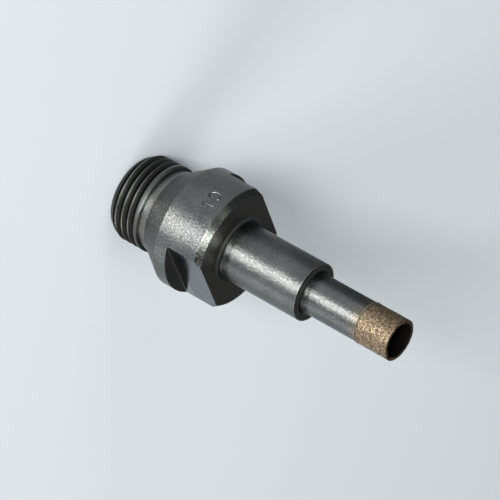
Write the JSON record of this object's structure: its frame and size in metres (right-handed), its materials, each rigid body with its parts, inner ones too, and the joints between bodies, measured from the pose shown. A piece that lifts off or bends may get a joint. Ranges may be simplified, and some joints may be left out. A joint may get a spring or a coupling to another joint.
{
  "type": "diamond core bit",
  "caption": "Hollow diamond core bit for glass and stone: threaded end, flange with spanner flats, stepped shank, thin core tube, sintered crown.",
  "frame": {"origin": "centre of the thread's flat end face, which the bit stands on", "axes": "+Z along the bit's axis from the thread end to the cutting tip; the two spanner flats face +Y and -Y"},
  "size_m": [0.029, 0.029, 0.075],
  "materials": {
    "turned_steel": "turned carbon steel, lightly oiled, satin with fine tool marks",
    "sintered_bronze": "sintered bronze bond with diamond grit, matt and speckled",
    "silver_solder": "braze filler metal, bright where it has flowed"
  },
  "bodies": {
    "root": {"turned_body": "turned_steel", "diamond_crown": "sintered_bronze", "braze_seam": "silver_solder"}
  },
  "joints": []
}
